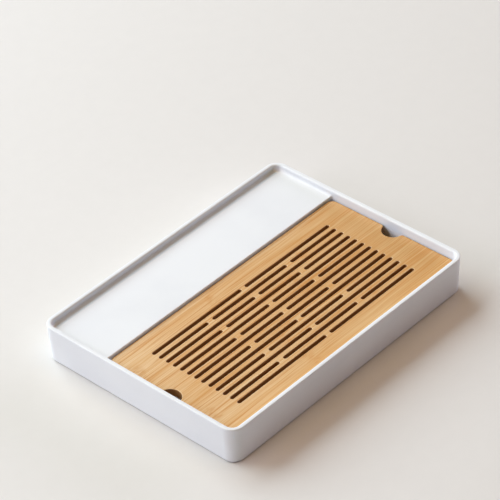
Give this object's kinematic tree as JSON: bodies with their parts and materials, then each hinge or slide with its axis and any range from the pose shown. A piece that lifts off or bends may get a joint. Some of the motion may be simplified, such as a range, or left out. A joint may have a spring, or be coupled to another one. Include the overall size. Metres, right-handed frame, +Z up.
{
  "type": "gongfu tea tray",
  "caption": "Low white rectangular tea tray with a dry shelf along one side and a slotted bamboo drain board that lifts out of a water well.",
  "frame": {"origin": "centre of the tray's footprint on the surface it stands on", "axes": "+X along the tray's length, +Y from the well towards the dry shelf, +Z up"},
  "size_m": [0.3398, 0.2498, 0.0423],
  "materials": {
    "white_moulding": "satin",
    "bamboo": "satin, oiled",
    "foot_rubber": "matte"
  },
  "bodies": {
    "tray": {"tray_body": "white_moulding", "foot_front_left": "foot_rubber", "foot_front_right": "foot_rubber", "foot_back_left": "foot_rubber", "foot_back_right": "foot_rubber"},
    "board": {"drain_board": "bamboo"}
  },
  "joints": [
    {"name": "board_lift", "type": "slide", "parent": "tray", "child": "board", "axis": [0, 0, 1], "range_m": [0, 0.06]}
  ]
}
